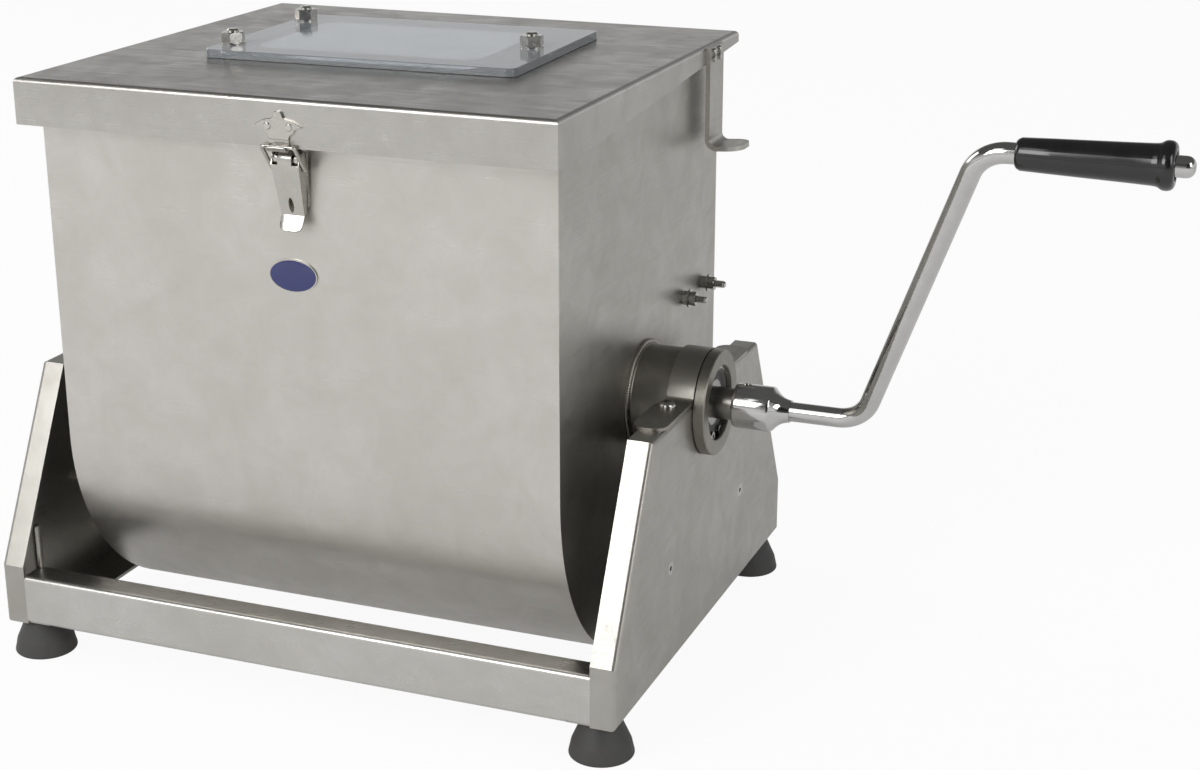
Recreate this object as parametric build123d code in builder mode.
from build123d import *
from math import cos, radians, sin
import os

os.makedirs("parts", exist_ok=True)

# A hand-cranked dough kneader: a stainless tub with a round bottom and a hinged lid, which
# tilts on two trunnions in a low stand. A crank turns the paddle shaft inside the tub.
# Millimetres. X runs along the shaft towards the crank, Y from the front to the back, Z up.
# The origin is on the bench, midway between the four feet.

# ---------------------------------------------------------------- driving dimensions
running_gap = 0.05        # radial, between a turning piece and its bore
fixed_gap = 0.02          # radial, between a pin or ring and the bore it is fixed in
seat_gap = 0.3            # between pieces that rest on each other and come apart

# Stand: two folded cheeks joined by a front and a rear channel
stand_length = 418.6      # over the cheeks, along X
stand_depth = 325.2       # front to back
stand_sheet = 2.0
fold_radius = 3.0         # outside radius of each fold in the stand
rail_bottom = 24.7
rail_height = 32.6
rail_flange = 18.0
cheek_lip = 16.0          # depth of the folded edge round each cheek
cheek_floor = 31.0        # depth of the folded edge that the feet screw into
cheek_shoulder = 63.6     # height where the front and back edges begin to lean in
cheek_top = 181.4
cheek_top_width = 204.8

# Feet
foot_inset_x = 15.4       # centre of the foot from the cheek's outer face
foot_inset_y = 17.6       # centre of the foot from the front or rear face
pad_diameter = 40.0
pad_waist_diameter = 36.0
pad_neck_diameter = 22.0
pad_rim_height = 9.0
pad_edge_radius = 1.5
foot_stud_diameter = 6.0
foot_stud_top = 86.0
foot_stud_sunk = 16.0     # length of stud inside the rubber
foot_stud_space = 1.0     # between the stud and the rail's upper flange
m6_flats = 10.0
m6_nut_height = 5.2

# Screws through the cheeks
cheek_screw_diameter = 5.0
cheek_screw_height = 89.0
cheek_screw_spread = 138.0
cheek_screw_length = 12.0
m5_nut_flats = 8.0
m5_nut_height = 4.0

# Tub: a wrapper bent into a U, with a flat plate in each end
axle_height = 173.6
tub_length = 332.0
tub_depth = 278.0         # over the straight walls
tub_drop = 23.6           # centre of the round bottom below the axle
tub_sheet = 1.5
end_sheet = 2.0
rim_height = 375.2
rim_lip = 13.0            # width of the lip turned out along the front and the back

# Trunnions, bearings and shaft
trunnion_diameter = 63.0
trunnion_weld = 3.0
collar_diameter = 66.0
collar_width = 6.6
collar_clearance = 0.8    # between the cheek and the collar outside it
bearing_bore = 20.0
bearing_diameter = 47.0
bearing_width = 14.0
bearing_inner_wall = 3.8
bearing_recess = 4.0      # face of the bearing inside the end of the trunnion
bearing_seat_shoulder = 4.5
seal_diameter = 30.0
seal_width = 8.0
circlip_thickness = 1.75
circlip_depth = 1.2       # depth of its groove
circlip_width = 3.4
circlip_opening = 36.0    # degrees between its ears
circlip_ear_diameter = 6.0
circlip_ear_hole = 2.5

# Straps over the trunnions
strap_width = 17.0
strap_sheet = 2.0
strap_span = 170.0        # over the two rounded ends
strap_flare = 4.0         # extra width of each foot, towards the tub
strap_bend = 4.0
strap_end_radius = 8.0
strap_screw_spread = 90.0
strap_screw_inset = 11.8  # from the cheek's outer face
strap_screw_diameter = 6.0
strap_head_diameter = 10.5
strap_head_height = 3.3
strap_screw_length = 12.0

# Paddles
paddle_count = 6
paddle_end_space = 34.0   # from the tub's inside to the middle of the first paddle
paddle_step = 60.0        # degrees from one paddle to the next
paddle_reach = 132.0      # radius that the tips sweep
paddle_arm_diameter = 12.0
paddle_root = 58.0        # radius where the blade starts
paddle_root_width = 24.0
paddle_root_turn = 12.0   # degrees
paddle_middle_width = 50.0
paddle_middle_turn = 24.0
paddle_tip_width = 58.0
paddle_tip_turn = 36.0
paddle_thickness = 4.0

# Crank
socket_space = 10.3       # from the trunnion's end to the socket
socket_length = 24.3
socket_cone = 10.7
socket_lip = 1.0          # wall left at the end of the cone
socket_diameter = 28.0
socket_depth = 13.0       # length of shaft held in it
rod_diameter = 12.0
rod_lead = 44.6           # straight run from the socket to the rod's first corner
rod_lean = 71.0           # how far the arm leans out, along X, to its second corner
grip_offset_y = -50.0
grip_offset_z = 181.9
rod_bend_radius = 22.0
rod_tip = 10.2            # rod that shows beyond the grip
grub_diameter = 6.0
grub_sunk = 1.0
machined_edge = 0.6       # chamfer on turned ends
shaft_edge = 0.8

# Grip
grip_space = 19.7         # from the rod's second corner to the grip
grip_nose = 2.7
grip_length = 84.2
grip_bead_width = 7.2
grip_small_diameter = 18.2
grip_large_diameter = 23.0
grip_bead_diameter = 27.0
grip_bead_round = 1.8

# Lid
lid_end_gap = 5.3         # between the tub's end and the inside of the skirt
lid_front_gap = 1.8       # between the rim's lip and the front skirt
lid_back_gap = 7.8
lid_sheet = 1.5
lid_front_skirt = 27.9
lid_back_skirt = 7.3
lid_fold_radius = 3.0

# Window in the lid
window_length = 207.0
window_width = 148.0
window_thickness = 5.0
window_corner = 6.0
window_centre_x = -2.5
window_centre_y = 19.0
window_turn = 1.7         # degrees that the sheet sits askew
window_seal = 0.5
window_hole_length = 150.0
window_hole_width = 104.0
window_hole_corner = 12.0
window_hole_shift = -4.7  # its middle from the middle of the sheet
window_edge = 0.4         # chamfer round the sheet's upper edge
window_bolt_left = 95.0   # two bolts, this far left of the middle
window_bolt_spread = 99.0
window_bolt_right = 85.5  # one bolt, this far right of the middle
window_bolt_diameter = 8.0
window_bolt_projection = 9.5
window_bolt_head = 5.3
m8_flats = 13.0
m8_nut_height = 6.5
washer_thickness = 1.0
window_washer_diameter = 15.0

# Lid hinge
hinge_length = 270.0
hinge_knuckles = 9
hinge_knuckle_diameter = 5.2
hinge_pin_diameter = 3.0
hinge_sheet = 1.0
hinge_end_gap = 0.3
hinge_leaf_width = 14.0
hinge_drop = 3.9          # axis below the inner face of the lid

# Latch on the front
latch_x = 4.0
latch_pivot_standoff = 7.5
latch_pin_diameter = 4.0
latch_sheet = 1.2
latch_corner = 3.0
latch_base_width = 26.0
latch_base_above = 11.0   # above the lever's pivot
latch_base_below = 50.0
latch_rivet_inset_top = 4.9
latch_rivet_inset_bottom = 7.3
latch_ear_span = 15.0
latch_lever_width = 18.0
latch_lever_tip_width = 15.6
latch_lever_length = 42.0     # from its pivot to its tip
latch_tip_length = 6.0
latch_tip_flare = 5.0
latch_hood_width = 10.0   # the lever's rolled top, between the ears
latch_slot_length = 11.4
latch_slot_width = 5.0
latch_slot_rise = 7.0     # middle of the slot above the start of the tip
latch_throw = 7.0         # from the lever's pivot to the bail's
latch_over_centre = 0.6
bail_wire = 2.4
bail_reach = 16.0         # height of the hook above the bail's pivot
keeper_drop = 6.7         # top of the keeper below the top of the lid
keeper_width = 28.9
keeper_height = 14.0
keeper_tip_drop = 8.6     # the points at its sides, below its top
keeper_shoulder_width = 20.0
keeper_shoulder_drop = 5.4
keeper_waist_width = 19.0
keeper_waist_drop = 11.4
keeper_knob_diameter = 6.0
keeper_hook_drop = 20.3   # centre of the hook below the keeper's top
keeper_sheet = 1.2
keeper_rib = 0.6          # how far the tongue stands out from the plate
keeper_rib_width = 8.4
keeper_tongue_width = 12.8
keeper_lip = 4.0
keeper_lip_rise = 40.0    # degrees
keeper_rivet_drop = 9.0
rivet_diameter = 2.4
rivet_head_diameter = 4.6
rivet_head_height = 1.0
rivet_spread = 13.8

# Studs on the right-hand end, and the bracket on the lid above them
side_stud_diameter = 5.0
side_stud_core = 4.5      # where a nut's thread bites into it
side_stud_head = 1.5
side_stud_height = 215.5
side_stud_first = 74.7
side_stud_spacing = 39.0
side_stud_length = 16.1
side_washer_diameter = 12.0
bracket_sheet = 3.0
bracket_width = 27.0
bracket_start_y = 93.0
bracket_drop = 1.0        # top of the bracket below the top of the lid
bracket_length = 65.0
bracket_foot_length = 24.2
bracket_foot_rise = 1.5
bracket_bend = 6.0
bracket_tip_radius = 10.0
bracket_screw_diameter = 3.0
bracket_screw_head = 4.2
bracket_screw_inset = 6.5
bracket_screw_drop = 2.9
bracket_screw_pitch_y = 11.0
bracket_screw_pitch_z = 4.6

# ---------------------------------------------------------------- places that follow
cheek_outer = stand_length / 2
cheek_inner = cheek_outer - stand_sheet
stand_front = stand_depth / 2
tub_half = tub_length / 2
tub_wall = tub_depth / 2
u_centre = axle_height - tub_drop
trunnion_radius = trunnion_diameter / 2
collar_start = cheek_outer + collar_clearance
trunnion_end = collar_start + collar_width
bearing_outer_face = trunnion_end - bearing_recess
bearing_inner_face = bearing_outer_face - bearing_width
shaft_radius = bearing_bore / 2
shaft_start = -bearing_outer_face
socket_start = trunnion_end + socket_space
shaft_end = socket_start + socket_depth
rod_bend_x = socket_start + socket_length + socket_cone + rod_lead
rod_grip_x = rod_bend_x + rod_lean
grip_start_x = rod_grip_x + grip_space
rod_end_x = grip_start_x + grip_length + rod_tip
grip_axis_z = axle_height + grip_offset_z
rim_depth = tub_depth + 2 * rim_lip
lid_length = tub_length + 2 * (lid_end_gap + lid_sheet)
lid_front = rim_depth / 2 + lid_front_gap + lid_sheet
lid_back = rim_depth / 2 + lid_back_gap + lid_sheet
lid_inner = rim_height + seat_gap
lid_top = lid_inner + lid_sheet
hinge_y = lid_back - lid_sheet - hinge_sheet - seat_gap - hinge_knuckle_diameter / 2
hinge_z = lid_inner - hinge_drop
keeper_top = lid_top - keeper_drop
hook_inner_radius = bail_wire / 2 + seat_gap
hook_y = -lid_front - keeper_sheet - hook_inner_radius
hook_z = keeper_top - keeper_hook_drop
latch_pivot_y = -tub_wall - latch_pivot_standoff
bail_pivot_y = latch_pivot_y + latch_over_centre
bail_pivot_z = hook_z - bail_reach
latch_pivot_height = bail_pivot_z + latch_throw


def hexagon(flats, mode=Mode.ADD):
    """Hexagon by its width across flats, at the current location of a sketch."""
    RegularPolygon(radius=flats / 2, side_count=6, major_radius=False, mode=mode)


def draw_u(inset, top, mode=Mode.ADD):
    """Round-bottomed outline of the tub, inset from its outside, up to a height."""
    half = tub_wall - inset
    with Locations((0, u_centre)):
        Circle(half, mode=mode)
        Rectangle(2 * half, top - u_centre, align=(Align.CENTER, Align.MIN), mode=mode)


def draw_cheek():
    """Outline of a cheek: upright edges that lean in above the shoulder."""
    narrow = cheek_top_width / 2
    Polygon(
        (-stand_front, rail_bottom), (stand_front, rail_bottom),
        (stand_front, cheek_shoulder), (narrow, cheek_top),
        (-narrow, cheek_top), (-stand_front, cheek_shoulder), align=None,
    )


# ---------------------------------------------------------------- stand
foot_x = cheek_outer - foot_inset_x
foot_y = stand_front - foot_inset_y
foot_places = [(sx * foot_x, sy * foot_y) for sx in (-1, 1) for sy in (-1, 1)]
cheek_screw_places = [
    (sy * cheek_screw_spread / 2, cheek_screw_height) for sy in (-1, 1)
]
strap_screw_x = cheek_outer - strap_screw_inset
strap_screw_places = [(strap_screw_x, sy * strap_screw_spread / 2) for sy in (-1, 1)]
saddle_radius = trunnion_radius + running_gap
csk_diameter = cheek_screw_diameter + 2 * stand_sheet

with BuildPart() as cheek_right:
    with BuildSketch(Plane.YZ.offset(cheek_outer)):
        draw_cheek()
    extrude(amount=-cheek_lip)
    outline = cheek_right.faces().sort_by(Axis.X)[-1].outer_wire().edges()
    fillet(outline, fold_radius)
    with BuildSketch(Plane.YZ.offset(cheek_inner)):
        draw_cheek()
        offset(amount=-stand_sheet, kind=Kind.INTERSECTION)
    extrude(amount=-cheek_lip, mode=Mode.SUBTRACT)
    # The bottom edge is folded in further, as a floor for the feet.
    with BuildSketch(Plane.XY.offset(rail_bottom)):
        with Locations((cheek_inner, 0)):
            Rectangle(
                cheek_floor - stand_sheet, stand_depth - 2 * stand_sheet,
                align=(Align.MAX, Align.CENTER),
            )
    extrude(amount=stand_sheet)
    # Half-round saddle for the trunnion, open at the top
    with BuildSketch(Plane.YZ.offset(cheek_outer)):
        with Locations((0, axle_height)):
            Circle(saddle_radius)
            Rectangle(2 * saddle_radius, trunnion_radius, align=(Align.CENTER, Align.MIN))
    extrude(amount=-cheek_lip, mode=Mode.SUBTRACT)
    with BuildSketch(Plane.YZ.offset(cheek_outer)):
        with Locations(*cheek_screw_places):
            Circle(csk_diameter / 2 + running_gap)
    extrude(amount=-stand_sheet, taper=45, mode=Mode.SUBTRACT)
    with BuildSketch(Plane.XY.offset(cheek_top)):
        with Locations(*strap_screw_places):
            Circle(strap_screw_diameter / 2 + running_gap)
    extrude(amount=-stand_sheet, mode=Mode.SUBTRACT)
    with BuildSketch(Plane.XY.offset(rail_bottom)):
        with Locations((foot_x, -foot_y), (foot_x, foot_y)):
            Circle(foot_stud_diameter / 2 + running_gap)
    extrude(amount=stand_sheet, mode=Mode.SUBTRACT)
cheek_right.part.label = "cheek_right"
export_step(cheek_right.part, "parts/cheek_right.step")

with BuildPart() as cheek_left:
    mirror(cheek_right.part, about=Plane.YZ)
cheek_left.part.label = "cheek_left"
export_step(cheek_left.part, "parts/cheek_left.step")

rail_length = stand_length - 2 * cheek_lip

with BuildPart() as front_rail:
    with BuildSketch(Plane.XY.offset(rail_bottom)):
        with Locations((0, -stand_front)):
            Rectangle(rail_length, rail_flange, align=(Align.CENTER, Align.MIN))
    extrude(amount=rail_height)
    front_edges = front_rail.edges().filter_by(Axis.X).group_by(Axis.Y)[0]
    fillet(front_edges, fold_radius)
    with BuildSketch(Plane.XY.offset(rail_bottom + stand_sheet)):
        with Locations((0, -stand_front + stand_sheet)):
            Rectangle(rail_length, rail_flange, align=(Align.CENTER, Align.MIN))
    extrude(amount=rail_height - 2 * stand_sheet, mode=Mode.SUBTRACT)
    # The lower flange stops short of the cheek's floor, and the upper one clears the stud.
    with BuildSketch(Plane.XY.offset(rail_bottom)):
        with Locations(
            (foot_inset_x - cheek_outer, -stand_front), (cheek_outer - foot_inset_x, -stand_front)
        ):
            Rectangle(2 * (cheek_floor - foot_inset_x), 2 * (rail_flange + stand_sheet))
    extrude(amount=stand_sheet, mode=Mode.SUBTRACT)
    with BuildSketch(Plane.XY.offset(rail_bottom)):
        with Locations((-foot_x, -foot_y), (foot_x, -foot_y)):
            Circle(foot_stud_diameter / 2 + foot_stud_space)
    extrude(amount=rail_height, mode=Mode.SUBTRACT)
front_rail.part.label = "front_rail"
export_step(front_rail.part, "parts/front_rail.step")

with BuildPart() as rear_rail:
    mirror(front_rail.part, about=Plane.XZ)
rear_rail.part.label = "rear_rail"
export_step(rear_rail.part, "parts/rear_rail.step")

# Strap: one strip bent over the trunnion, with a flat foot each side
strap_outer_radius = saddle_radius + strap_sheet
strap_foot_width = strap_width + strap_flare
strap_inner_x = cheek_outer - strap_width
strap_top = cheek_top + strap_sheet

with BuildPart() as strap_right:
    with BuildSketch(Plane.YZ.offset(cheek_outer - strap_foot_width)):
        with Locations((0, axle_height)):
            Circle(strap_outer_radius)
        with Locations((0, cheek_top)):
            Rectangle(strap_span, strap_sheet, align=(Align.CENTER, Align.MIN))
    extrude(amount=strap_foot_width)
    with BuildSketch(Plane.YZ.offset(cheek_outer)):
        with Locations((0, axle_height)):
            Circle(saddle_radius)
        with Locations((0, cheek_top)):
            Rectangle(strap_span, cheek_top, align=(Align.CENTER, Align.MAX))
    extrude(amount=-strap_foot_width, mode=Mode.SUBTRACT)
    roots = strap_right.edges().filter_by(Axis.X).filter_by_position(
        Axis.Z, strap_top - 0.01, strap_top + 0.01
    ).filter_by_position(Axis.Y, -strap_outer_radius, strap_outer_radius)
    fillet(roots, strap_bend)
    # Plan of the strip: narrow over the trunnion, wider and rounded at each foot
    with BuildSketch(Plane.XY.offset(cheek_top)):
        with Locations((cheek_outer, 0)):
            Rectangle(strap_width, strap_span, align=(Align.MAX, Align.CENTER))
        for side in (-1, 1):
            Polygon(
                (strap_inner_x, side * trunnion_radius),
                (cheek_outer - strap_foot_width, side * strap_screw_spread / 2),
                (cheek_outer - strap_foot_width, side * strap_span / 2),
                (strap_inner_x, side * strap_span / 2),
                align=None,
            )
    extrude(amount=2 * strap_outer_radius, mode=Mode.INTERSECT)
    ends = strap_right.edges().filter_by(Axis.Z).filter_by_position(
        Axis.Y, -strap_span / 2 - 0.01, -strap_span / 2 + 0.01
    ) + strap_right.edges().filter_by(Axis.Z).filter_by_position(
        Axis.Y, strap_span / 2 - 0.01, strap_span / 2 + 0.01
    )
    fillet(ends, strap_end_radius)
    with BuildSketch(Plane.XY.offset(cheek_top)):
        with Locations(*strap_screw_places):
            Circle(strap_screw_diameter / 2 + running_gap)
    extrude(amount=strap_sheet, mode=Mode.SUBTRACT)
strap_right.part.label = "strap_right"
export_step(strap_right.part, "parts/strap_right.step")

with BuildPart() as strap_left:
    mirror(strap_right.part, about=Plane.YZ)
strap_left.part.label = "strap_left"
export_step(strap_left.part, "parts/strap_left.step")

all_strap_places = [
    (sx * strap_screw_x, y) for sx in (-1, 1) for (_, y) in strap_screw_places
]

with BuildPart() as strap_screws:
    with BuildSketch(Plane.XY.offset(strap_top)):
        with Locations(*all_strap_places):
            Circle(strap_head_diameter / 2)
    extrude(amount=strap_head_height)
    fillet(strap_screws.faces().sort_by(Axis.Z)[-4:].edges(), 0.8 * strap_head_height)
    with BuildSketch(Plane.XY.offset(strap_top)):
        with Locations(*all_strap_places):
            Circle(strap_screw_diameter / 2)
    extrude(amount=-strap_screw_length)
    with BuildSketch(Plane.XY.offset(strap_top + strap_head_height)):
        with Locations(*all_strap_places):
            hexagon(strap_screw_diameter * 0.6)
    extrude(amount=-0.6 * strap_head_height, mode=Mode.SUBTRACT)
strap_screws.part.label = "strap_screws"
export_step(strap_screws.part, "parts/strap_screws.step")

with BuildPart() as strap_nuts:
    with BuildSketch(Plane.XY.offset(cheek_top - stand_sheet)):
        with Locations(*all_strap_places):
            hexagon(m6_flats)
            Circle(strap_screw_diameter / 2 + fixed_gap, mode=Mode.SUBTRACT)
    extrude(amount=-m6_nut_height)
strap_nuts.part.label = "strap_nuts"
export_step(strap_nuts.part, "parts/strap_nuts.step")

# ---------------------------------------------------------------- feet
pad_profile = [
    (0, 0), (pad_diameter / 2, 0), (pad_waist_diameter / 2, pad_rim_height),
    (pad_neck_diameter / 2, rail_bottom), (0, rail_bottom),
]

with BuildPart() as foot_pad:
    with BuildSketch(Plane.XZ) as pad_section:
        Polygon(*pad_profile, align=None)
        fillet(pad_section.vertices().sort_by(Axis.X)[-2:], pad_edge_radius)
        with Locations((0, rail_bottom)):
            Rectangle(
                foot_stud_diameter + 2 * fixed_gap, 2 * foot_stud_sunk, mode=Mode.SUBTRACT
            )
    revolve(axis=Axis.Z)

with BuildPart() as foot_pads:
    with Locations(*foot_places):
        add(foot_pad.part)
foot_pads.part.label = "foot_pads"
export_step(foot_pads.part, "parts/foot_pads.step")

with BuildPart() as foot_studs:
    with BuildSketch(Plane.XY.offset(rail_bottom - foot_stud_sunk)):
        with Locations(*foot_places):
            Circle(foot_stud_diameter / 2)
    extrude(amount=foot_stud_top - rail_bottom + foot_stud_sunk)
    chamfer(foot_studs.faces().sort_by(Axis.Z)[-4:].edges(), foot_stud_diameter / 8)
foot_studs.part.label = "foot_studs"
export_step(foot_studs.part, "parts/foot_studs.step")

with BuildPart() as foot_lock_nuts:
    with BuildSketch(Plane.XY.offset(rail_bottom + stand_sheet)):
        with Locations(*foot_places):
            hexagon(m6_flats)
            Circle(foot_stud_diameter / 2 + fixed_gap, mode=Mode.SUBTRACT)
    extrude(amount=m6_nut_height)
foot_lock_nuts.part.label = "foot_lock_nuts"
export_step(foot_lock_nuts.part, "parts/foot_lock_nuts.step")

# ---------------------------------------------------------------- screws in the cheeks
with BuildPart() as cheek_screws:
    with BuildSketch(Plane.YZ.offset(cheek_outer)):
        with Locations(*cheek_screw_places):
            Circle(csk_diameter / 2)
    extrude(amount=-stand_sheet, taper=45)
    with BuildSketch(Plane.YZ.offset(cheek_outer)):
        with Locations(*cheek_screw_places):
            Circle(cheek_screw_diameter / 2)
    extrude(amount=-cheek_screw_length)
    with BuildSketch(Plane.YZ.offset(cheek_outer)):
        with Locations(*cheek_screw_places):
            hexagon(cheek_screw_diameter * 0.6)
    extrude(amount=-stand_sheet, mode=Mode.SUBTRACT)
    mirror(about=Plane.YZ)
cheek_screws.part.label = "cheek_screws"
export_step(cheek_screws.part, "parts/cheek_screws.step")

with BuildPart() as cheek_screw_nuts:
    with BuildSketch(Plane.YZ.offset(cheek_inner)):
        with Locations(*cheek_screw_places):
            hexagon(m5_nut_flats)
            Circle(cheek_screw_diameter / 2 + fixed_gap, mode=Mode.SUBTRACT)
    extrude(amount=-m5_nut_height)
    mirror(about=Plane.YZ)
cheek_screw_nuts.part.label = "cheek_screw_nuts"
export_step(cheek_screw_nuts.part, "parts/cheek_screw_nuts.step")

# ---------------------------------------------------------------- tub
side_stud_places = [
    (side_stud_first, side_stud_height),
    (side_stud_first + side_stud_spacing, side_stud_height),
]
seal_radius = seal_diameter / 2

with BuildPart() as tub_wrapper:
    with BuildSketch(Plane.YZ.offset(-tub_half)):
        draw_u(0, rim_height)
        with Locations((0, rim_height)):
            Rectangle(rim_depth, tub_sheet, align=(Align.CENTER, Align.MAX))
        draw_u(tub_sheet, rim_height, Mode.SUBTRACT)
    extrude(amount=tub_length)
    inner_rim = tub_wrapper.edges().filter_by(Axis.X).group_by(Axis.Z)[-1]
    fillet(
        inner_rim.filter_by_position(Axis.Y, -tub_wall, tub_wall), 0.8 * tub_sheet
    )
tub_wrapper.part.label = "tub_wrapper"
export_step(tub_wrapper.part, "parts/tub_wrapper.step")

with BuildPart() as tub_end_right:
    with BuildSketch(Plane.YZ.offset(tub_half)):
        draw_u(tub_sheet + fixed_gap, rim_height - tub_sheet)
        with Locations((0, axle_height)):
            Circle(seal_radius + fixed_gap, mode=Mode.SUBTRACT)
        with Locations(*side_stud_places):
            Circle(side_stud_diameter / 2 + running_gap, mode=Mode.SUBTRACT)
    extrude(amount=-end_sheet)
tub_end_right.part.label = "tub_end_right"
export_step(tub_end_right.part, "parts/tub_end_right.step")

with BuildPart() as tub_end_left:
    with BuildSketch(Plane.YZ.offset(-tub_half)):
        draw_u(tub_sheet + fixed_gap, rim_height - tub_sheet)
        with Locations((0, axle_height)):
            Circle(seal_radius + fixed_gap, mode=Mode.SUBTRACT)
    extrude(amount=end_sheet)
tub_end_left.part.label = "tub_end_left"
export_step(tub_end_left.part, "parts/tub_end_left.step")

# Trunnion: turned hub welded to the end plate, bored for the seal, bearing and circlip
bearing_radius = bearing_diameter / 2
groove_start = bearing_outer_face + running_gap
seal_end = tub_half - end_sheet + seal_width
axle_line = Axis((0, 0, axle_height), (1, 0, 0))
axle_plane = Plane((0, 0, axle_height), x_dir=(1, 0, 0), z_dir=(0, -1, 0))

with BuildPart() as trunnion_right:
    with BuildSketch(axle_plane):
        Polygon(
            (tub_half, seal_radius + fixed_gap),
            (tub_half, trunnion_radius + trunnion_weld),
            (tub_half + trunnion_weld, trunnion_radius),
            (collar_start, trunnion_radius),
            (collar_start, collar_diameter / 2),
            (trunnion_end, collar_diameter / 2),
            (trunnion_end, bearing_radius + fixed_gap),
            (groove_start + circlip_thickness + running_gap, bearing_radius + fixed_gap),
            (groove_start + circlip_thickness + running_gap, bearing_radius + circlip_depth),
            (groove_start, bearing_radius + circlip_depth),
            (groove_start, bearing_radius + fixed_gap),
            (bearing_inner_face, bearing_radius + fixed_gap),
            (bearing_inner_face, bearing_radius - bearing_seat_shoulder),
            (seal_end, bearing_radius - bearing_seat_shoulder),
            (seal_end, seal_radius + fixed_gap),
            align=None,
        )
    revolve(axis=axle_line)
    rims = trunnion_right.edges().filter_by(GeomType.CIRCLE).filter_by_position(
        Axis.X, trunnion_end - 0.01, trunnion_end + 0.01
    )
    chamfer(rims, machined_edge)
trunnion_right.part.label = "trunnion_right"
export_step(trunnion_right.part, "parts/trunnion_right.step")

with BuildPart() as trunnion_left:
    mirror(trunnion_right.part, about=Plane.YZ)
trunnion_left.part.label = "trunnion_left"
export_step(trunnion_left.part, "parts/trunnion_left.step")

# Sealed bearing: the outer ring with its two side seals, and the inner ring
inner_ring_radius = shaft_radius + bearing_inner_wall

with BuildPart() as bearing_outer_right:
    with BuildSketch(Plane.YZ.offset(bearing_inner_face)):
        with Locations((0, axle_height)):
            Circle(bearing_radius)
            Circle(inner_ring_radius + running_gap, mode=Mode.SUBTRACT)
    extrude(amount=bearing_width)
bearing_outer_right.part.label = "bearing_outer_right"
export_step(bearing_outer_right.part, "parts/bearing_outer_right.step")

with BuildPart() as bearing_outer_left:
    mirror(bearing_outer_right.part, about=Plane.YZ)
bearing_outer_left.part.label = "bearing_outer_left"
export_step(bearing_outer_left.part, "parts/bearing_outer_left.step")

with BuildPart() as bearing_inner_right:
    with BuildSketch(Plane.YZ.offset(bearing_inner_face)):
        with Locations((0, axle_height)):
            Circle(inner_ring_radius)
            Circle(shaft_radius + fixed_gap, mode=Mode.SUBTRACT)
    extrude(amount=bearing_width)
bearing_inner_right.part.label = "bearing_inner_right"
export_step(bearing_inner_right.part, "parts/bearing_inner_right.step")

with BuildPart() as bearing_inner_left:
    mirror(bearing_inner_right.part, about=Plane.YZ)
bearing_inner_left.part.label = "bearing_inner_left"
export_step(bearing_inner_left.part, "parts/bearing_inner_left.step")

circlip_outer = bearing_radius + circlip_depth - fixed_gap
circlip_ear_radius = circlip_outer - circlip_width
ear_turn = circlip_opening / 2

with BuildPart() as circlip_right:
    with BuildSketch(Plane.YZ.offset(groove_start + running_gap / 2)):
        with Locations((0, axle_height)):
            Circle(circlip_outer)
            Circle(circlip_outer - circlip_width, mode=Mode.SUBTRACT)
            Polygon(
                (0, 0),
                (-bearing_diameter * sin(radians(ear_turn)),
                 -bearing_diameter * cos(radians(ear_turn))),
                (bearing_diameter * sin(radians(ear_turn)),
                 -bearing_diameter * cos(radians(ear_turn))),
                align=None, mode=Mode.SUBTRACT,
            )
            with PolarLocations(
                circlip_ear_radius, 2, start_angle=270 - ear_turn,
                angular_range=2 * ear_turn, endpoint=True,
            ):
                Circle(circlip_ear_diameter / 2)
                Circle(circlip_ear_hole / 2, mode=Mode.SUBTRACT)
    extrude(amount=circlip_thickness)
circlip_right.part.label = "circlip_right"
export_step(circlip_right.part, "parts/circlip_right.step")

with BuildPart() as circlip_left:
    mirror(circlip_right.part, about=Plane.YZ)
circlip_left.part.label = "circlip_left"
export_step(circlip_left.part, "parts/circlip_left.step")

with BuildPart() as shaft_seal_right:
    with BuildSketch(Plane.YZ.offset(tub_half - end_sheet)):
        with Locations((0, axle_height)):
            Circle(seal_radius)
            Circle(shaft_radius + running_gap, mode=Mode.SUBTRACT)
    extrude(amount=seal_width)
shaft_seal_right.part.label = "shaft_seal_right"
export_step(shaft_seal_right.part, "parts/shaft_seal_right.step")

with BuildPart() as shaft_seal_left:
    mirror(shaft_seal_right.part, about=Plane.YZ)
shaft_seal_left.part.label = "shaft_seal_left"
export_step(shaft_seal_left.part, "parts/shaft_seal_left.step")

# ---------------------------------------------------------------- studs on the right end
inner_nut_end = tub_half + m5_nut_height
side_washer_end = inner_nut_end + washer_thickness
outer_nut_end = side_washer_end + m5_nut_height

with BuildPart() as side_studs:
    with BuildSketch(Plane.YZ.offset(tub_half - end_sheet)):
        with Locations(*side_stud_places):
            Circle(side_stud_diameter)
    extrude(amount=-side_stud_head)
    with BuildSketch(Plane.YZ.offset(tub_half - end_sheet)):
        with Locations(*side_stud_places):
            Circle(side_stud_core / 2)
    extrude(amount=outer_nut_end - tub_half + end_sheet)
    with BuildSketch(Plane.YZ.offset(outer_nut_end)):
        with Locations(*side_stud_places):
            Circle(side_stud_diameter / 2)
    extrude(amount=tub_half + side_stud_length - outer_nut_end)
    chamfer(side_studs.faces().sort_by(Axis.X)[-2:].edges(), side_stud_diameter / 8)
side_studs.part.label = "side_studs"
export_step(side_studs.part, "parts/side_studs.step")

with BuildPart() as side_stud_nuts:
    for start in (tub_half, side_washer_end):
        with BuildSketch(Plane.YZ.offset(start)):
            with Locations(*side_stud_places):
                hexagon(m5_nut_flats)
                Circle(side_stud_core / 2 + fixed_gap, mode=Mode.SUBTRACT)
        extrude(amount=m5_nut_height)
side_stud_nuts.part.label = "side_stud_nuts"
export_step(side_stud_nuts.part, "parts/side_stud_nuts.step")

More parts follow.
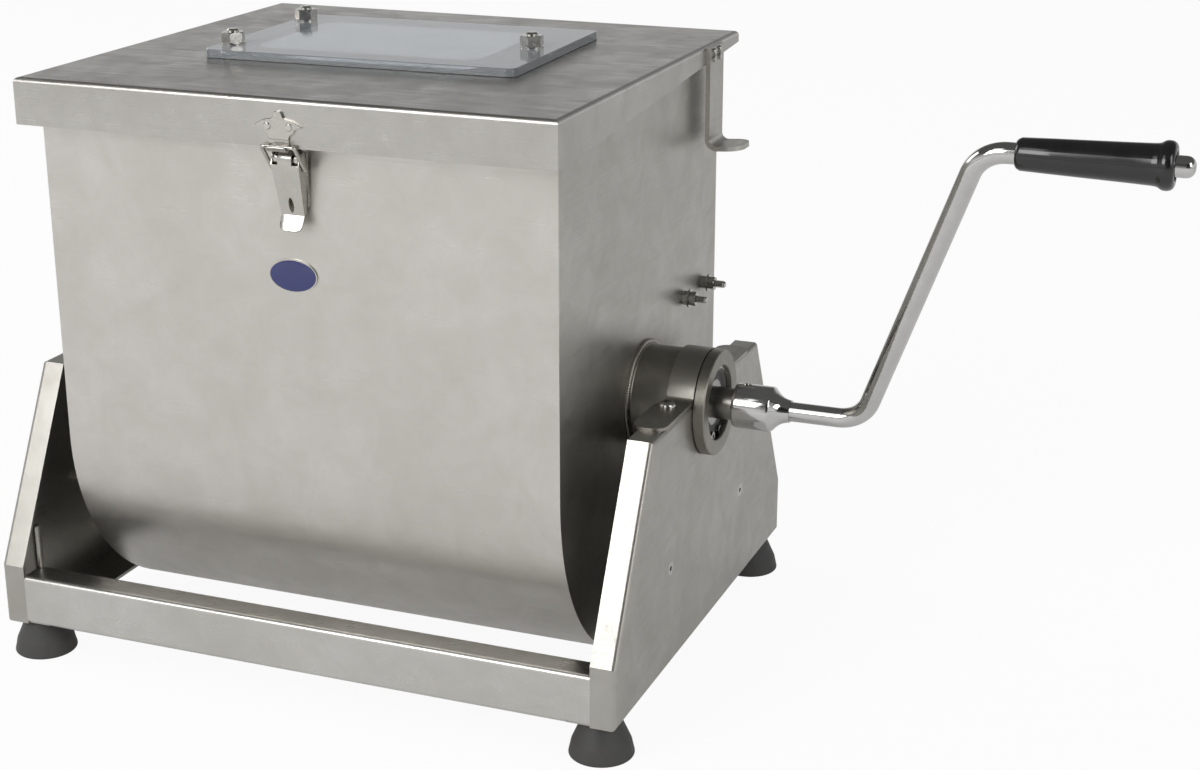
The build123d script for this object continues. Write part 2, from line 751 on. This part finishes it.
with BuildPart() as side_stud_washers:
    with BuildSketch(Plane.YZ.offset(inner_nut_end)):
        with Locations(*side_stud_places):
            Circle(side_washer_diameter / 2)
            Circle(side_stud_diameter / 2 + running_gap, mode=Mode.SUBTRACT)
    extrude(amount=washer_thickness)
side_stud_washers.part.label = "side_stud_washers"
export_step(side_stud_washers.part, "parts/side_stud_washers.step")

# ---------------------------------------------------------------- shaft and paddles
with BuildPart() as mixing_shaft:
    with BuildSketch(Plane.YZ.offset(shaft_start)):
        with Locations((0, axle_height)):
            Circle(shaft_radius)
    extrude(amount=shaft_end - shaft_start)
    chamfer(mixing_shaft.edges().filter_by(GeomType.CIRCLE), shaft_edge)
mixing_shaft.part.label = "mixing_shaft"
export_step(mixing_shaft.part, "parts/mixing_shaft.step")

# Each paddle is an arm that swells into a twisted blade, trimmed to the swept radius.
first_paddle_x = tub_half - end_sheet - paddle_end_space
paddle_pitch = 2 * first_paddle_x / (paddle_count - 1)
blade_middle = (paddle_root + paddle_reach) / 2
blade_sections = [
    (paddle_root, paddle_root_width, paddle_root_turn),
    (blade_middle, paddle_middle_width, paddle_middle_turn),
    (paddle_reach + paddle_thickness, paddle_tip_width, paddle_tip_turn),
]

for index in range(paddle_count):
    paddle_x = index * paddle_pitch - first_paddle_x
    paddle_base = Plane((paddle_x, 0, axle_height)).rotated((index * paddle_step, 0, 0))
    with BuildPart() as paddle:
        with BuildSketch(paddle_base):
            Circle(paddle_arm_diameter / 2)
        extrude(amount=blade_middle)
        for radius, width, turn in blade_sections:
            with BuildSketch(paddle_base.offset(radius)):
                RectangleRounded(
                    width, paddle_thickness, 0.45 * paddle_thickness, rotation=turn
                )
        loft()
        with BuildSketch(Plane.YZ.offset(paddle_x - paddle_reach / 2)):
            with Locations((0, axle_height)):
                Circle(paddle_reach)
                Circle(shaft_radius + fixed_gap, mode=Mode.SUBTRACT)
        extrude(amount=paddle_reach, mode=Mode.INTERSECT)
    paddle.part.label = f"paddle_{index + 1}"
    export_step(paddle.part, f"parts/paddle_{index + 1}.step")

# ---------------------------------------------------------------- crank
socket_shoulder = socket_start + socket_length
socket_end = socket_shoulder + socket_cone
rod_radius = rod_diameter / 2
rod_start = shaft_end + seat_gap

with BuildPart() as crank_socket:
    with BuildSketch(axle_plane):
        Polygon(
            (socket_start, shaft_radius + fixed_gap),
            (socket_start, socket_diameter / 2),
            (socket_shoulder, socket_diameter / 2),
            (socket_end, rod_radius + socket_lip),
            (socket_end, rod_radius + fixed_gap),
            (rod_start, rod_radius + fixed_gap),
            (rod_start, shaft_radius + fixed_gap),
            align=None,
        )
    revolve(axis=axle_line)
    chamfer(
        crank_socket.edges().filter_by(GeomType.CIRCLE).group_by(Axis.X)[0], machined_edge
    )
    with BuildSketch(Plane.XY.offset(axle_height)):
        with Locations(((socket_start + shaft_end) / 2, 0)):
            Circle(grub_diameter / 2 + fixed_gap)
    extrude(amount=socket_diameter, mode=Mode.SUBTRACT)
crank_socket.part.label = "crank_socket"
export_step(crank_socket.part, "parts/crank_socket.step")

grub_bottom = axle_height + shaft_radius + fixed_gap

with BuildPart() as crank_grub_screw:
    with BuildSketch(Plane.XY.offset(grub_bottom)):
        with Locations(((socket_start + shaft_end) / 2, 0)):
            Circle(grub_diameter / 2)
    extrude(amount=socket_diameter / 2 - shaft_radius - grub_sunk)
    with BuildSketch(Plane.XY.offset(grub_bottom + grub_sunk)):
        with Locations(((socket_start + shaft_end) / 2, 0)):
            hexagon(grub_diameter / 2)
    extrude(amount=socket_diameter, mode=Mode.SUBTRACT)
crank_grub_screw.part.label = "crank_grub_screw"
export_step(crank_grub_screw.part, "parts/crank_grub_screw.step")

rod_points = [
    (rod_start, 0, axle_height),
    (rod_bend_x, 0, axle_height),
    (rod_grip_x, grip_offset_y, grip_axis_z),
    (rod_end_x, grip_offset_y, grip_axis_z),
]

with BuildPart() as crank_rod:
    with BuildLine() as rod_path:
        FilletPolyline(*rod_points, radius=rod_bend_radius)
    with BuildSketch(Plane.YZ.offset(rod_start)):
        with Locations((0, axle_height)):
            Circle(rod_radius)
    sweep(path=rod_path.line)
    fillet(
        crank_rod.edges().filter_by(GeomType.CIRCLE).sort_by(Axis.X)[-1],
        0.8 * rod_radius,
    )
crank_rod.part.label = "crank_rod"
export_step(crank_rod.part, "parts/crank_rod.step")

grip_line = Axis((0, grip_offset_y, grip_axis_z), (1, 0, 0))
grip_plane = Plane((0, grip_offset_y, grip_axis_z), x_dir=(1, 0, 0), z_dir=(0, -1, 0))
grip_bead_x = grip_start_x + grip_length - grip_bead_width
grip_end_x = grip_start_x + grip_length

with BuildPart() as grip:
    with BuildSketch(grip_plane):
        Polygon(
            (grip_start_x, rod_radius + running_gap),
            (grip_start_x, grip_small_diameter / 2 - grip_nose / 2),
            (grip_start_x + grip_nose, grip_small_diameter / 2),
            (grip_bead_x, grip_large_diameter / 2),
            (grip_bead_x, grip_bead_diameter / 2),
            (grip_end_x, grip_bead_diameter / 2),
            (grip_end_x, rod_radius + running_gap),
            align=None,
        )
    revolve(axis=grip_line)
    bead = grip.edges().filter_by(GeomType.CIRCLE).filter_by_position(
        Axis.X, grip_bead_x - 0.01, grip_end_x + 0.01
    )
    fillet(bead.sort_by(SortBy.LENGTH)[-2:], grip_bead_round)
grip.part.label = "grip"
export_step(grip.part, "parts/grip.step")

# ---------------------------------------------------------------- lid
window_plane = Plane(
    (window_centre_x, window_centre_y, lid_top),
    x_dir=(cos(radians(window_turn)), sin(radians(window_turn)), 0),
    z_dir=(0, 0, 1),
)
window_bolt_places = [
    (-window_bolt_left, -window_bolt_spread / 2),
    (-window_bolt_left, window_bolt_spread / 2),
    (window_bolt_right, 0),
]
keeper_rivet_z = keeper_top - keeper_rivet_drop
keeper_rivet_places = [
    (latch_x - rivet_spread / 2, keeper_rivet_z),
    (latch_x + rivet_spread / 2, keeper_rivet_z),
]
bracket_top = lid_top - bracket_drop
bracket_screw_places = [
    (bracket_start_y + bracket_screw_inset + column, bracket_top - bracket_screw_drop - row)
    for column in (0, bracket_screw_pitch_y)
    for row in (0, bracket_screw_pitch_z)
]

with BuildPart() as lid_panel:
    with BuildSketch(Plane.YZ.offset(-lid_length / 2)):
        Polygon(
            (-lid_front, lid_top - lid_front_skirt), (lid_back, lid_top - lid_back_skirt),
            (lid_back, lid_top), (-lid_front, lid_top), align=None,
        )
    extrude(amount=lid_length)
    folds = lid_panel.faces().sort_by(Axis.Z)[-1].edges()
    fillet(folds, lid_fold_radius)
    with BuildSketch(Plane.XY.offset(lid_inner)):
        with Locations((0, (lid_back - lid_front) / 2)):
            Rectangle(lid_length - 2 * lid_sheet, lid_front + lid_back - 2 * lid_sheet)
    extrude(amount=-2 * lid_front_skirt, mode=Mode.SUBTRACT)
    with BuildSketch(window_plane):
        with Locations((window_hole_shift, 0)):
            RectangleRounded(window_hole_length, window_hole_width, window_hole_corner)
        with Locations(*window_bolt_places):
            Circle(window_bolt_diameter / 2 + running_gap)
    extrude(amount=-lid_sheet, mode=Mode.SUBTRACT)
    with BuildSketch(Plane.XZ.offset(lid_front)):
        with Locations(*keeper_rivet_places):
            Circle(rivet_diameter / 2 + running_gap)
    extrude(amount=-lid_sheet, mode=Mode.SUBTRACT)
    with BuildSketch(Plane.YZ.offset(lid_length / 2)):
        with Locations(*bracket_screw_places):
            Circle(bracket_screw_diameter / 2 + running_gap)
    extrude(amount=-lid_sheet, mode=Mode.SUBTRACT)
lid_panel.part.label = "lid_panel"
export_step(lid_panel.part, "parts/lid_panel.step")

with BuildPart() as window_gasket:
    with BuildSketch(window_plane):
        RectangleRounded(window_length, window_width, window_corner)
        with Locations((window_hole_shift, 0)):
            RectangleRounded(
                window_hole_length, window_hole_width, window_hole_corner,
                mode=Mode.SUBTRACT,
            )
        with Locations(*window_bolt_places):
            Circle(window_bolt_diameter / 2 + running_gap, mode=Mode.SUBTRACT)
    extrude(amount=window_seal)
window_gasket.part.label = "window_gasket"
export_step(window_gasket.part, "parts/window_gasket.step")

with BuildPart() as window_plate:
    with BuildSketch(window_plane.offset(window_seal)):
        RectangleRounded(window_length, window_width, window_corner)
        with Locations(*window_bolt_places):
            Circle(window_bolt_diameter / 2 + running_gap, mode=Mode.SUBTRACT)
    extrude(amount=window_thickness)
    chamfer(window_plate.faces().sort_by(Axis.Z)[-1].outer_wire().edges(), window_edge)
window_plate.part.label = "window_plate"
export_step(window_plate.part, "parts/window_plate.step")

with BuildPart() as window_bolts:
    with BuildSketch(window_plane.offset(-lid_sheet)):
        with Locations(*window_bolt_places):
            hexagon(m8_flats)
    extrude(amount=-window_bolt_head)
    with BuildSketch(window_plane.offset(-lid_sheet)):
        with Locations(*window_bolt_places):
            Circle(window_bolt_diameter / 2)
    extrude(
        amount=lid_sheet + window_seal + window_thickness + window_bolt_projection
    )
    chamfer(window_bolts.faces().sort_by(Axis.Z)[-3:].edges(), window_bolt_diameter / 8)
window_bolts.part.label = "window_bolts"
export_step(window_bolts.part, "parts/window_bolts.step")

washer_bottom = window_seal + window_thickness

with BuildPart() as window_washers:
    with BuildSketch(window_plane.offset(washer_bottom)):
        with Locations(*window_bolt_places):
            Circle(window_washer_diameter / 2)
            Circle(window_bolt_diameter / 2 + running_gap, mode=Mode.SUBTRACT)
    extrude(amount=washer_thickness)
window_washers.part.label = "window_washers"
export_step(window_washers.part, "parts/window_washers.step")

with BuildPart() as window_nuts:
    with BuildSketch(window_plane.offset(washer_bottom + washer_thickness)):
        with Locations(*window_bolt_places):
            hexagon(m8_flats)
            Circle(window_bolt_diameter / 2 + fixed_gap, mode=Mode.SUBTRACT)
    extrude(amount=m8_nut_height)
window_nuts.part.label = "window_nuts"
export_step(window_nuts.part, "parts/window_nuts.step")

# Bracket on the right-hand skirt of the lid, with a foot turned outwards at its lower end
bracket_face = lid_length / 2
bracket_middle = bracket_face + bracket_sheet / 2
bracket_centre_y = bracket_start_y + bracket_width / 2
bracket_foot_z = bracket_top - bracket_length

with BuildPart() as lid_bracket:
    with BuildSketch(Plane.XZ.offset(-bracket_centre_y)):
        with BuildLine():
            FilletPolyline(
                (bracket_middle, bracket_top),
                (bracket_middle, bracket_foot_z),
                (bracket_face + bracket_foot_length, bracket_foot_z + bracket_foot_rise),
                radius=bracket_bend,
            )
        trace(line_width=bracket_sheet)
    extrude(amount=bracket_width / 2, both=True)
    tip = lid_bracket.faces().sort_by(Axis.X)[-1].edges().filter_by(Axis.Y, reverse=True)
    fillet(tip, bracket_tip_radius)
    with BuildSketch(Plane.YZ.offset(bracket_face)):
        with Locations(*bracket_screw_places):
            Circle(bracket_screw_diameter / 2 + running_gap)
    extrude(amount=bracket_sheet, mode=Mode.SUBTRACT)
lid_bracket.part.label = "lid_bracket"
export_step(lid_bracket.part, "parts/lid_bracket.step")

with BuildPart() as lid_bracket_screws:
    with BuildSketch(Plane.YZ.offset(bracket_face + bracket_sheet)):
        with Locations(*bracket_screw_places):
            Circle(bracket_screw_head / 2)
    extrude(amount=bracket_screw_diameter / 2)
    with BuildSketch(Plane.YZ.offset(bracket_face + bracket_sheet)):
        with Locations(*bracket_screw_places):
            Circle(bracket_screw_diameter / 2)
    extrude(amount=-bracket_sheet - 2 * lid_sheet)
lid_bracket_screws.part.label = "lid_bracket_screws"
export_step(lid_bracket_screws.part, "parts/lid_bracket_screws.step")

# ---------------------------------------------------------------- lid hinge
knuckle_length = hinge_length / hinge_knuckles
knuckle_radius = hinge_knuckle_diameter / 2
knuckle_bore = hinge_pin_diameter / 2 + running_gap
knuckle_starts = [-hinge_length / 2 + i * knuckle_length for i in range(hinge_knuckles)]
lid_skin_y = lid_back - lid_sheet
leaf_start_y = hinge_y - knuckle_radius - seat_gap
leaf_top_z = rim_height - tub_sheet


def knuckle(start, bridge_centre, bridge_size):
    """One knuckle of the hinge, tied to its leaf by a bridge and bored for the pin."""
    with BuildSketch(Plane.YZ.offset(start + hinge_end_gap / 2)) as section:
        with Locations((hinge_y, hinge_z)):
            Circle(knuckle_radius)
        with Locations(bridge_centre):
            Rectangle(*bridge_size)
        with Locations((hinge_y, hinge_z)):
            Circle(knuckle_bore, mode=Mode.SUBTRACT)
    extrude(section.sketch, amount=knuckle_length - hinge_end_gap)


with BuildPart() as hinge_leaf_tub:
    with BuildSketch(Plane.XY.offset(leaf_top_z - hinge_sheet)):
        with Locations((0, leaf_start_y)):
            Rectangle(hinge_length, hinge_leaf_width, align=(Align.CENTER, Align.MAX))
    extrude(amount=hinge_sheet)
    for start in knuckle_starts[0::2]:
        bridge_width = hinge_y - leaf_start_y + hinge_sheet - knuckle_bore
        knuckle(
            start,
            (leaf_start_y - hinge_sheet + bridge_width / 2, leaf_top_z - hinge_sheet / 2),
            (bridge_width, hinge_sheet),
        )
hinge_leaf_tub.part.label = "hinge_leaf_tub"
export_step(hinge_leaf_tub.part, "parts/hinge_leaf_tub.step")

with BuildPart() as hinge_leaf_lid:
    with BuildSketch(Plane.XZ.offset(-lid_skin_y)):
        with Locations((0, lid_inner)):
            Rectangle(
                hinge_length, lid_inner - lid_top + lid_back_skirt,
                align=(Align.CENTER, Align.MAX),
            )
    extrude(amount=hinge_sheet)
    for start in knuckle_starts[1::2]:
        bridge_width = lid_skin_y - hinge_y - knuckle_bore
        knuckle(
            start,
            (lid_skin_y - bridge_width / 2, hinge_z + knuckle_radius - hinge_sheet / 2),
            (bridge_width, hinge_sheet),
        )
hinge_leaf_lid.part.label = "hinge_leaf_lid"
export_step(hinge_leaf_lid.part, "parts/hinge_leaf_lid.step")

with BuildPart() as hinge_pin:
    with BuildSketch(Plane.YZ.offset(-hinge_length / 2)):
        with Locations((hinge_y, hinge_z)):
            Circle(hinge_pin_diameter / 2)
    extrude(amount=hinge_length)
hinge_pin.part.label = "hinge_pin"
export_step(hinge_pin.part, "parts/hinge_pin.step")

# ---------------------------------------------------------------- latch
ear_outer = latch_ear_span / 2
ear_radius = latch_throw / 2
lever_inner = ear_outer + seat_gap
lever_outer = latch_lever_width / 2
latch_base_bottom = latch_pivot_height - latch_base_below
latch_base_top = latch_pivot_height + latch_base_above
base_rivet_places = [
    (latch_x, latch_base_bottom + latch_rivet_inset_bottom),
    (latch_x, latch_base_top - latch_rivet_inset_top),
]

with BuildPart() as latch_base:
    with BuildSketch(Plane.XZ.offset(tub_wall)):
        with Locations((latch_x, latch_base_bottom)):
            Rectangle(
                latch_base_width, latch_base_below + latch_base_above,
                align=(Align.CENTER, Align.MIN),
            )
        with Locations(*base_rivet_places):
            Circle(rivet_diameter / 2 + running_gap, mode=Mode.SUBTRACT)
    extrude(amount=latch_sheet)
    corners = latch_base.edges().filter_by(Axis.Y)
    fillet(corners.group_by(Axis.X)[0] + corners.group_by(Axis.X)[-1], latch_corner)
    for side in (-1, 1):
        with BuildSketch(Plane.YZ.offset(latch_x + side * ear_outer)):
            with Locations((latch_pivot_y, latch_pivot_height)):
                Circle(ear_radius)
                Rectangle(
                    latch_pivot_standoff, 2 * ear_radius, align=(Align.MIN, Align.CENTER)
                )
                Circle(latch_pin_diameter / 2 + fixed_gap, mode=Mode.SUBTRACT)
        extrude(amount=-side * latch_sheet)
latch_base.part.label = "latch_base"
export_step(latch_base.part, "parts/latch_base.step")

with BuildPart() as latch_rivets:
    with BuildSketch(Plane.XZ.offset(tub_wall + latch_sheet)):
        with Locations(*base_rivet_places):
            Circle(rivet_head_diameter / 2)
    extrude(amount=rivet_head_height)
    fillet(
        latch_rivets.faces().sort_by(Axis.Y)[:2].edges(), 0.8 * rivet_head_height
    )
    with BuildSketch(Plane.XZ.offset(tub_wall + latch_sheet)):
        with Locations(*base_rivet_places):
            Circle(rivet_diameter / 2)
    extrude(amount=-latch_sheet)
latch_rivets.part.label = "latch_rivets"
export_step(latch_rivets.part, "parts/latch_rivets.step")

with BuildPart() as latch_pin:
    with BuildSketch(Plane.YZ.offset(latch_x - lever_outer - seat_gap / 2)):
        with Locations((latch_pivot_y, latch_pivot_height)):
            Circle(latch_pin_diameter / 2)
    extrude(amount=latch_lever_width + seat_gap)
latch_pin.part.label = "latch_pin"
export_step(latch_pin.part, "parts/latch_pin.step")

# Lever: a channel with its open side to the tub. Its tip is bent out for the finger, and
# its top is rolled over the pin, between the ears.
lever_face_y = latch_pivot_y - ear_radius - seat_gap
lever_back_y = -tub_wall - latch_sheet - rivet_head_height - seat_gap
lever_top = latch_pivot_height - latch_throw / 2
lever_bottom = latch_pivot_height - latch_lever_length
latch_tip_z = lever_bottom + latch_tip_length
hood_inner = ear_radius + seat_gap

with BuildPart() as latch_lever:
    with BuildSketch(Plane.YZ.offset(latch_x - lever_outer)):
        with BuildLine():
            Polyline(
                (lever_face_y - latch_sheet, lever_top),
                (lever_face_y - latch_sheet, latch_tip_z),
                (lever_face_y - latch_sheet - latch_tip_flare, lever_bottom),
                (lever_face_y - latch_tip_flare, lever_bottom),
                (lever_face_y + latch_sheet, latch_tip_z),
                (lever_back_y, latch_tip_z + latch_throw),
                (lever_back_y, lever_top),
                close=True,
            )
        make_face()
        with Locations((latch_pivot_y, latch_pivot_height)):
            Circle(ear_radius + seat_gap)
    extrude(amount=latch_lever_width)
    with BuildSketch(Plane.YZ.offset(latch_x - lever_inner)):
        with Locations((lever_face_y, latch_tip_z)):
            Rectangle(
                2 * latch_throw, latch_lever_length + latch_throw,
                align=(Align.MIN, Align.MIN),
            )
    extrude(amount=2 * lever_inner, mode=Mode.SUBTRACT)
    with BuildSketch(Plane.YZ.offset(latch_x - latch_hood_width / 2)):
        with Locations((latch_pivot_y, latch_pivot_height)):
            Circle(hood_inner + latch_sheet)
            Circle(hood_inner, mode=Mode.SUBTRACT)
            Rectangle(
                hood_inner + latch_sheet, 2 * latch_throw,
                align=(Align.MIN, Align.CENTER), mode=Mode.SUBTRACT,
            )
            with Locations((-hood_inner, 0)):
                Rectangle(latch_sheet, latch_throw, align=(Align.MAX, Align.MAX))
    extrude(amount=latch_hood_width)
    with BuildSketch(Plane.YZ.offset(latch_x - lever_outer)):
        with Locations((latch_pivot_y, latch_pivot_height)):
            Circle(latch_pin_diameter / 2 + running_gap)
        with Locations((bail_pivot_y, bail_pivot_z)):
            Circle(bail_wire / 2 + running_gap)
    extrude(amount=latch_lever_width, mode=Mode.SUBTRACT)
    # The lever narrows towards its tip, and a slot lightens its face.
    with BuildSketch(Plane.XZ.offset(-latch_pivot_y)) as lever_face:
        with Locations((latch_x, 0)):
            Polygon(
                (-lever_outer, latch_pivot_height + latch_throw),
                (lever_outer, latch_pivot_height + latch_throw),
                (lever_outer, bail_pivot_z - bail_wire),
                (latch_lever_tip_width / 2, lever_bottom),
                (-latch_lever_tip_width / 2, lever_bottom),
                (-lever_outer, bail_pivot_z - bail_wire),
                align=None,
            )
        fillet(lever_face.vertices().group_by(Axis.Y)[0], latch_corner)
        with Locations((latch_x, latch_tip_z + latch_slot_rise)):
            SlotOverall(
                latch_slot_length, latch_slot_width, rotation=90, mode=Mode.SUBTRACT
            )
    extrude(amount=4 * latch_throw, both=True, mode=Mode.INTERSECT)
latch_lever.part.label = "latch_lever"
export_step(latch_lever.part, "parts/latch_lever.step")

bail_side = lever_outer + seat_gap + bail_wire / 2
bail_inner = ear_outer + seat_gap / 2
bail_points = [
    (latch_x - bail_inner, bail_pivot_y, bail_pivot_z),
    (latch_x - bail_side, bail_pivot_y, bail_pivot_z),
    (latch_x - bail_side, hook_y, hook_z),
    (latch_x + bail_side, hook_y, hook_z),
    (latch_x + bail_side, bail_pivot_y, bail_pivot_z),
    (latch_x + bail_inner, bail_pivot_y, bail_pivot_z),
]

with BuildPart() as latch_bail:
    with BuildLine() as bail_path:
        FilletPolyline(*bail_points, radius=0.55 * bail_wire)
    with BuildSketch(Plane.YZ.offset(latch_x - bail_inner)):
        with Locations((bail_pivot_y, bail_pivot_z)):
            Circle(bail_wire / 2)
    sweep(path=bail_path.line)
latch_bail.part.label = "latch_bail"
export_step(latch_bail.part, "parts/latch_bail.step")

# Keeper: a plate on the lid's front skirt, ending in a hook that the bail pulls down on
hook_outer_radius = hook_inner_radius + keeper_sheet
hook_middle_radius = hook_inner_radius + keeper_sheet / 2
keeper_middle_y = -lid_front - keeper_sheet / 2
keeper_knob_z = keeper_top - keeper_knob_diameter / 2
keeper_right_side = [
    (keeper_knob_diameter / 4, -keeper_knob_diameter / 2),
    (keeper_shoulder_width / 2, -keeper_shoulder_drop),
    (keeper_width / 2, -keeper_tip_drop),
    (keeper_waist_width / 2, -keeper_waist_drop),
    (keeper_tongue_width / 2, -keeper_height),
]
keeper_left_side = [(-x, z) for (x, z) in reversed(keeper_right_side)]

with BuildPart() as latch_keeper:
    with BuildSketch(Plane.XZ.offset(lid_front)):
        with Locations((latch_x, keeper_top)):
            Polygon(*keeper_right_side, *keeper_left_side, align=None)
        with Locations((latch_x, keeper_knob_z)):
            Circle(keeper_knob_diameter / 2)
        with Locations(*keeper_rivet_places):
            Circle(rivet_diameter / 2 + running_gap, mode=Mode.SUBTRACT)
    extrude(amount=keeper_sheet)
    with BuildSketch(Plane.XZ.offset(lid_front)):
        with Locations((latch_x, keeper_top)):
            Polygon(
                (keeper_rib_width / 2, -keeper_shoulder_drop),
                (keeper_rib_width / 2, -keeper_waist_drop),
                (keeper_tongue_width / 2, -keeper_height),
                (-keeper_tongue_width / 2, -keeper_height),
                (-keeper_rib_width / 2, -keeper_waist_drop),
                (-keeper_rib_width / 2, -keeper_shoulder_drop),
                align=None,
            )
    extrude(amount=keeper_sheet + keeper_rib)
    with BuildSketch(Plane.YZ.offset(latch_x)):
        with BuildLine():
            Line(
                (keeper_middle_y, keeper_top - keeper_height + keeper_sheet),
                (keeper_middle_y, hook_z),
            )
            bowl = CenterArc(
                (hook_y, hook_z), hook_middle_radius, 0, -90 - keeper_lip_rise
            )
            Line(
                bowl @ 1,
                (bowl @ 1) + Vector(
                    -keeper_lip * cos(radians(keeper_lip_rise)),
                    keeper_lip * sin(radians(keeper_lip_rise)),
                ),
            )
        trace(line_width=keeper_sheet)
    extrude(amount=keeper_tongue_width / 2, both=True)
latch_keeper.part.label = "latch_keeper"
export_step(latch_keeper.part, "parts/latch_keeper.step")

with BuildPart() as keeper_rivets:
    with BuildSketch(Plane.XZ.offset(lid_front + keeper_sheet)):
        with Locations(*keeper_rivet_places):
            Circle(rivet_head_diameter / 2)
    extrude(amount=rivet_head_height)
    fillet(
        keeper_rivets.faces().sort_by(Axis.Y)[:2].edges(), 0.8 * rivet_head_height
    )
    with BuildSketch(Plane.XZ.offset(lid_front + keeper_sheet)):
        with Locations(*keeper_rivet_places):
            Circle(rivet_diameter / 2)
    extrude(amount=-keeper_sheet - lid_sheet)
keeper_rivets.part.label = "keeper_rivets"
export_step(keeper_rivets.part, "parts/keeper_rivets.step")
